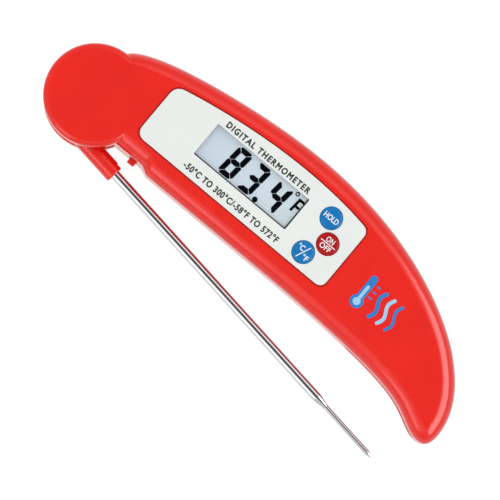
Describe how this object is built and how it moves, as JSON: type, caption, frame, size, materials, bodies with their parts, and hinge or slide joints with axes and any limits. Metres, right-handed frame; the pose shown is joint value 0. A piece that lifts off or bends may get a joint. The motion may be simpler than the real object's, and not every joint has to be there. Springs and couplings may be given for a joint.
{
  "type": "meat thermometer",
  "caption": "Folding pocket meat thermometer: curved glossy handle with display and push buttons, and a pointed steel probe that swings out on a round hub.",
  "frame": {"origin": "on the probe hub's pivot axis, at the flat rear face of the rear disc", "axes": "+X along the handle from the pivot to the tail, +Y towards the handle's curved back, +Z out of the front face"},
  "size_m": [0.1574, 0.0588, 0.0203],
  "materials": {
    "red_plastic": "glossy moulded ABS",
    "label_film": "satin printed film",
    "clear_plastic": "clear moulded acrylic",
    "display_glass": "reflective grey display glass",
    "white_plastic": "matte",
    "black_plastic": "matte",
    "grey_rubber": "matte silicone",
    "circuit_board": "solder mask over glass laminate",
    "blue_plastic": "satin moulded cap",
    "crimson_plastic": "satin moulded cap",
    "cell_jacket": "plain printed jacket",
    "nickel_plate": "plated spring steel",
    "magnet_nickel": "satin nickel plate",
    "screw_steel": "zinc plated",
    "stainless_steel": "drawn and polished",
    "red_insulation": "smooth insulation",
    "black_insulation": "smooth insulation",
    "white_insulation": "smooth insulation"
  },
  "bodies": {
    "handle": {"front_shell": "red_plastic", "rear_shell": "red_plastic", "face_label": "label_film", "display_window": "clear_plastic", "lcd_glass": "display_glass", "lcd_frame": "white_plastic", "zebra_strip": "grey_rubber", "circuit_board": "circuit_board", "controller_chip": "black_plastic", "crystal": "nickel_plate", "hold_switch": "black_plastic", "power_switch": "black_plastic", "unit_switch": "black_plastic", "fold_switch": "black_plastic", "battery_cell": "cell_jacket", "battery_contact": "nickel_plate", "battery_spring": "nickel_plate", "battery_spring_plate": "nickel_plate", "positive_wire": "red_insulation", "negative_wire": "black_insulation", "board_lead_a": "white_insulation", "board_lead_b": "white_insulation", "friction_washer": "white_plastic", "wave_washer": "stainless_steel", "magnet": "magnet_nickel", "case_screw_1": "screw_steel", "case_screw_2": "screw_steel", "case_screw_3": "screw_steel", "case_screw_4": "screw_steel", "board_screw_1": "screw_steel", "board_screw_2": "screw_steel"},
    "probe": {"probe_hub": "red_plastic", "hub_cover": "red_plastic", "probe_tube": "stainless_steel", "sensor_bead": "black_plastic", "sensor_lead_a": "white_insulation", "sensor_lead_b": "white_insulation"},
    "hold_key": {"hold_button": "blue_plastic", "hold_plunger": "white_plastic"},
    "power_key": {"power_button": "crimson_plastic", "power_plunger": "white_plastic"},
    "unit_key": {"unit_button": "blue_plastic", "unit_plunger": "white_plastic"},
    "fold_key": {"fold_peg": "red_plastic"},
    "door": {"battery_door": "red_plastic"}
  },
  "joints": [
    {"name": "probe_fold", "type": "hinge", "parent": "handle", "child": "probe", "pos_m": [0, 0, 0.01], "axis": [0, 0, -1], "range_deg": [-8, 172]},
    {"name": "hold_press", "type": "slide", "parent": "handle", "child": "hold_key", "axis": [0, 0, -1], "range_m": [0, 0.0004], "stiffness_N_per_m": 500, "springref_m": -0.0005},
    {"name": "power_press", "type": "slide", "parent": "handle", "child": "power_key", "axis": [0, 0, -1], "range_m": [0, 0.0004], "stiffness_N_per_m": 500, "springref_m": -0.0005},
    {"name": "unit_press", "type": "slide", "parent": "handle", "child": "unit_key", "axis": [0, 0, -1], "range_m": [0, 0.0004], "stiffness_N_per_m": 500, "springref_m": -0.0005},
    {"name": "fold_switch_press", "type": "slide", "parent": "handle", "child": "fold_key", "axis": [0, 1, 0], "range_m": [0, 0.001], "stiffness_N_per_m": 300, "springref_m": -0.0005},
    {"name": "battery_door_lift", "type": "slide", "parent": "handle", "child": "door", "axis": [0, 0, -1], "range_m": [0, 0.015]}
  ]
}
